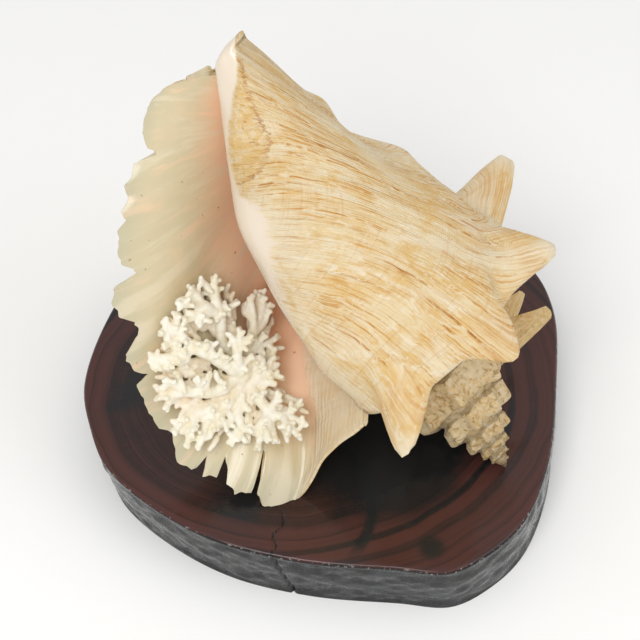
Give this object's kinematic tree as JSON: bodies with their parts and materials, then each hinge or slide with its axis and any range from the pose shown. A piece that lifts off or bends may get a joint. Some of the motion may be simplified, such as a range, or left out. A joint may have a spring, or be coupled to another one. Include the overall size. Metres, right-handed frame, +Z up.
{
  "type": "conch shell on stand",
  "caption": "Large spined conch shell with a flared lip, resting on a varnished log slice, with a small branching coral in its opening.",
  "frame": {"origin": "middle of the slab's underside", "axes": "+Z up, -Y towards the side that the shell's opening faces, +X towards the tip of the spire"},
  "size_m": [0.2438, 0.2195, 0.2185],
  "materials": {
    "wood": "dark varnished end grain with a black lacquered bark side",
    "shell": "natural shell, matt and ridged outside, glazed in the opening",
    "coral": "dry matt coral"
  },
  "bodies": {
    "root": {"wood_slab": "wood", "conch_shell": "shell", "coral_stem": "coral", "coral_branch_upper": "coral", "coral_branch_upper_fan": "coral", "coral_branch_upper_right": "coral", "coral_branch_front": "coral", "coral_branch_right": "coral", "coral_branch_lower_right": "coral", "coral_branch_bottom": "coral", "coral_branch_lower_left": "coral", "coral_branch_left": "coral", "coral_branch_upper_left": "coral", "coral_branch_left_tip": "coral"}
  },
  "joints": []
}
